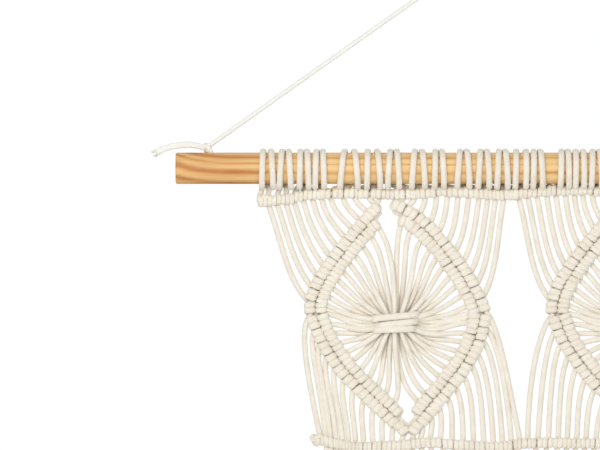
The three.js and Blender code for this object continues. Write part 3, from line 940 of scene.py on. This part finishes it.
for motif, centre in enumerate(DIAMOND):
    number = motif + 1
    frame_cords = Weave()
    ends = {}
    holding = {}  # the outer and inner rows' holding cords
    for half, side in SEAMS:
        quarter = Quarter(centre, half, side)
        toward = -1 if half == "upper" else 1  # upper cords come from outside the diamond
        outer_s = quarter.hitches("outer")
        inner_s = quarter.hitches("inner")
        outer_pitch = (outer_s[1] - outer_s[0]) / 2
        inner_pitch = (inner_s[1] - inner_s[0]) / 2
        found = []
        for a, b in zip(outer_s, inner_s):
            made = {}
            for row, s, pitch in (("outer", a, outer_pitch), ("inner", b, inner_pitch)):
                point, tangent, inward = quarter.at(s, row)
                jitter = rng.normal(0, 0.15, 3)
                point = point + jitter
                if row == "outer":
                    point[2] = min(point[2], TOP_LIMIT + wave(UPPER_WAVE, point[0]))
                    point[2] = max(point[2], BOTTOM_LIMIT + wave(LOWER_WAVE, point[0]))
                source = unit(inward * toward + 0.05 * rng.normal(0, 1, 3) * [1, 0, 1])
                along = unit(np.cross(source, BACK))
                along = along * np.sign((along * tangent).sum()) * -toward
                grow = 1 + rng.normal(0, 0.03)
                made[row] = add_hitch(
                    frame_cords, point, along, source, min(pitch, EDGE_PITCH_CAP),
                    EDGE_REACH * grow, EDGE_DEPTH * grow, EDGE_THICK,
                )
                made[row + "_in"] = inward
            first, then = ("outer", "inner") if half == "upper" else ("inner", "outer")
            bridge = (made[first][1], made[then][0])
            frame_cords.cord(resample(bridge, 1.0), inner_pitch * 0.95, EDGE_THICK)
            found.append(made)
        ends[half, side] = found
        # The cords that pass from row to row lie close together behind the seam.
        line = [
            (quarter.at(s, "outer")[0] + quarter.at(s, "inner")[0]) / 2
            for s in np.linspace(outer_s[0] - 2, quarter.length, 40)
        ]
        frame_cords.cord(resample(line, 1.5) + BACK * SEAM_BACK, *SEAM_CORD)
        for row, low in (("outer", outer_s[0] - 4), ("inner", inner_s[0] - 3)):
            stops = np.linspace(low, quarter.length, 40)
            line = np.array([quarter.at(s, row)[0] for s in stops])
            if half == "upper":
                limit = TOP_LIMIT + wave(UPPER_WAVE, line[:, 0])
                line[:, 2] = np.minimum(line[:, 2], limit)
            frame_cords.cord(resample(line, 2.0), 3.0)
            holding[half, side, row] = line

    frame_cords.piece(f"diamond_cords_{number}", cotton, "band", replaces=[f"diamond_{number}"])

    # Strands from the upper row down to the diamond, and from it to the lower row.
    for side in (-1, 1):
        found = ends["upper", side]
        for k in range(HITCHES):
            index = 24 * motif + (10 - k if side < 0 else 13 + k)
            start = upper_out[index]
            end, _ = found[k]["outer"]
            inward = found[k]["outer_in"]
            reach = np.linalg.norm(end - start)
            chord = unit(end - start)
            slant = 0.9 * (k / (HITCHES - 1)) ** 1.3
            go = unit(-UP * (1 - slant) + chord * slant)
            arrive = unit(inward + (0.6 + 1.3 * slant) * chord)
            a = start + go * (0.40 * reach) + FRONT * 1.2
            b = end - arrive * (0.28 * reach + 1.5) + FRONT * 1.6
            path = bezier(start, a, b, end)
            flat = (ROW_THICK, EDGE_THICK)
            upper_cords.cord(path, *free_section(path, (3.2, EDGE_WIDTH), flat, UPPER_CORD))
        found = ends["lower", side]
        for k in range(HITCHES):
            index = 24 * motif + (11 - k if side < 0 else 12 + k)
            _, start = found[k]["outer"]
            inward = found[k]["outer_in"]
            end = lower_in[index]
            reach = np.linalg.norm(end - start)
            chord = unit(end - start)
            leave = unit(-inward + (0.9 if side < 0 else 0.6) * chord)
            a = start + leave * min(0.28 * reach + 1.5, 12) + FRONT * 1.4
            b = end + unit(UP - 0.5 * chord) * (0.42 * reach) + FRONT * 1.2
            path = bezier(start, a, b, end)
            flat = (EDGE_THICK, ROW_THICK)
            section = free_section(path, (EDGE_WIDTH, TIED_WIDTH), flat, LOWER_CORD)
            lower_cords.cord(path, *section)
        # The outer row's holding cord comes from the upper row and goes on to the lower one.
        lead = holding["upper", side, "outer"]
        index = 24 * motif + (11 if side < 0 else 12)
        start = upper_out[index]
        path = bezier(start, start - UP * 3 + FRONT, lead[0], lead[2])
        upper_cords.cord(path, *LEADING_CORD)
        index = 24 * motif + (0 if side < 0 else 23)
        end = lower_in[index]
        start = lead[-1]
        reach = np.linalg.norm(end - start)
        a = start + np.array([side * 9.0, 0.8, -9.0])
        b = end + (UP + 0.2 * (motif - 1) * RIGHT) * (0.5 * reach) + FRONT * 0.6
        path = bezier(start, a, b, end)
        section = free_section(path, (3.2, TIED_WIDTH), (3.2, ROW_THICK))
        lower_cords.cord(path, *section)

    # The strands inside the diamond, which run through the gather from top to bottom.
    fan = Weave()
    gather = GATHER[motif] * [1, 0, 1]
    for side in (-1, 1):
        above, below = ends["upper", side], ends["lower", side]
        for k in range(HITCHES):
            share = k / (HITCHES - 1)
            x = side * (0.7 + 12.8 * share**0.9)
            layer = LAYERS[(k + (side > 0)) % 3] * (1 - 0.45 * share)
            high = 5.0 - 3.4 * share**2
            enter = gather + [x, layer, high]
            leave = gather + [x * 0.96, layer, -high - 0.6]
            start = above[k]["inner"][1]
            after = above[min(k + 1, HITCHES - 1)]["inner"][1]
            start = start + TIP_SHIFT[min(k, 3)] * (start - after)
            end = below[k]["inner"][0]
            way_in = above[k]["inner_in"]
            way_out = below[k]["inner_in"]
            bend = math.radians(84) * share**0.9
            down = np.array([-side * math.sin(bend), 0, -math.cos(bend)])
            rise = down * [1, 0, -1]
            d1 = np.linalg.norm(enter - start)
            d2 = np.linalg.norm(end - leave)
            sag = -UP * (0.8 + 3.4 * share)
            one = bezier(
                start,
                start + way_in * ((0.22 + 0.12 * share) * d1) + sag * 0.4 + FRONT * 1.5,
                enter - down * ((0.66 - 0.22 * share) * d1) + sag,
                enter,
            )
            two = bezier(
                leave,
                leave - rise * ((0.56 - 0.14 * share) * d2) + sag * 0.8,
                end + way_out * ((0.24 + 0.08 * share) * d2) + sag * 0.2 + FRONT * 1.5,
                end,
            )
            path = resample(np.vstack([one, two]), 1.4)
            for _ in range(4):  # round the corners at the gather
                path[1:-1] = sum(w * path[i : len(path) - 2 + i] for i, w in enumerate(SMOOTHED))
            width, thick = free_section(path, [EDGE_WIDTH] * 2, [EDGE_THICK] * 2, FAN_CORD)
            near = smooth(1 - (np.linalg.norm((path - gather) * [1, 0, 1], axis=1) - 9) / 9)
            width = width * (1 - 0.14 * near)
            thick = thick * (1 - 0.06 * near)
            fan.cord(path, width, thick)
    fan.piece(f"fan_cords_{number}", cotton, "band", replaces=[f"inner_strands_{number}"])

    # The cord that binds the gather: three bars across the front, joined behind.
    binding = Weave()
    points = []
    for left_x, left_z, right_x, right_z in BARS:
        for share in np.linspace(0, 1, 9):
            angle = math.pi * share
            x = left_x + (right_x - left_x) * (1 - math.cos(angle)) / 2
            z = left_z + (right_z - left_z) * share
            points.append((x, -BAR_DEPTH * math.sin(angle) ** 0.5, z))
        for share in (0.2, 0.4, 0.6, 0.8):
            angle = math.pi * share
            x = right_x + (left_x - right_x) * (1 - math.cos(angle)) / 2
            points.append((x, BAR_DEPTH * math.sin(angle) ** 0.8, right_z - BAR_DROP * share))
    path = spline(np.array(points), 1.1)
    flat = path * [1, 1, 0]
    binding.cord(path + gather, 4.7, 3.2, out=flat + 0.001 * BACK, ply=0.02)
    binding.piece(f"gather_binding_{number}", cotton, "band", replaces=[f"gather_{number}"])

upper_piece = upper_cords.piece("upper_cords", cotton, replaces=["upper_strands"])
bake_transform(upper_piece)
lower_cords.piece("lower_cords", cotton, "band", replaces=["lower_strands"])

# ---- the dowel ----

DOWEL_SIDES = 96
DRILL_SIDES = 32
SHARP_EDGE = math.radians(38)


def closed_tube(name, rings):
    """Rings of points joined into a tube with flat ends."""
    sides = len(rings[0])
    last = (len(rings) - 1) * sides
    faces = [
        (i + j, i + (j + 1) % sides, i + sides + (j + 1) % sides, i + sides + j)
        for i in range(0, last, sides)
        for j in range(sides)
    ]
    faces += [tuple(range(sides))[::-1], tuple(range(last, last + sides))]
    data = bpy.data.meshes.new(name)
    data.from_pydata([tuple(np.array(point) * MM) for ring in rings for point in ring], [], faces)
    return data


def drill_mesh(x):
    """A rod along the axis of the hanger cord's hole at x, longer than the hole."""
    (y0, z0), (y1, z1) = along_hole(-0.4), along_hole(1.4)
    axis = unit(np.array([0, y1 - y0, z1 - z0]))
    across = np.cross(axis, RIGHT)
    angles = TURN * np.arange(DRILL_SIDES) / DRILL_SIDES
    ring = [HOLE_RADIUS * (math.cos(a) * RIGHT + math.sin(a) * across) for a in angles]
    ends = [np.array([x, y, DOWEL_Z + z]) for y, z in ((y1, z1), (y0, z0))]
    return closed_tube("drill", [[end + point for point in ring] for end in ends])


# The rod, with eased ends and the two slanting holes.
profile = [
    (-DOWEL_HALF, DOWEL_R - 1.0),
    (-DOWEL_HALF + 0.25, DOWEL_R - 0.4),
    (-DOWEL_HALF + 0.9, DOWEL_R),
]
profile += [(x, DOWEL_R) for x in np.linspace(-DOWEL_HALF + 6, DOWEL_HALF - 6, 60)]
profile += [(-x, r) for x, r in reversed(profile[:3])]
angles = TURN * np.arange(DOWEL_SIDES) / DOWEL_SIDES
rings = [[(x, r * math.cos(a), DOWEL_Z + r * math.sin(a)) for a in angles] for x, r in profile]
rod = put("dowel_rod", closed_tube("dowel_rod", rings))
drills = []
for side in (-1, 1):
    drill = put("drill", drill_mesh(side * HOLE_X))
    cut = rod.modifiers.new("cut", "BOOLEAN")
    cut.operation = "DIFFERENCE"
    cut.solver = "EXACT"
    cut.object = drill
    drills.append(drill)
evaluated = rod.evaluated_get(bpy.context.evaluated_depsgraph_get())
cut_mesh = bpy.data.meshes.new_from_object(evaluated)
rod.modifiers.clear()
rod.data = cut_mesh
for drill in drills:
    bpy.data.objects.remove(drill)
rod.data.shade_smooth()
rod.data.set_sharp_from_angle(angle=SHARP_EDGE)
rod.data.materials.clear()
rod.data.materials.append(wood)
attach(rod, "dowel")
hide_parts("dowel")

# ---- the floor ----

FLOOR_Z = -0.9
FLOOR_HALF = 4
around = ((-1, -1), (1, -1), (1, 1), (-1, 1))
corners = [(x * FLOOR_HALF, y * FLOOR_HALF, FLOOR_Z) for x, y in around]
floor_data = bpy.data.meshes.new("floor")
floor_data.from_pydata(corners, [], [(0, 1, 2, 3)])
floor = put("floor", floor_data)
plain = Nodes("pale_floor")
plain.set("Base Color", (0.85, 0.85, 0.84, 1))
plain.set("Roughness", 0.9)
floor_data.materials.append(plain.material)
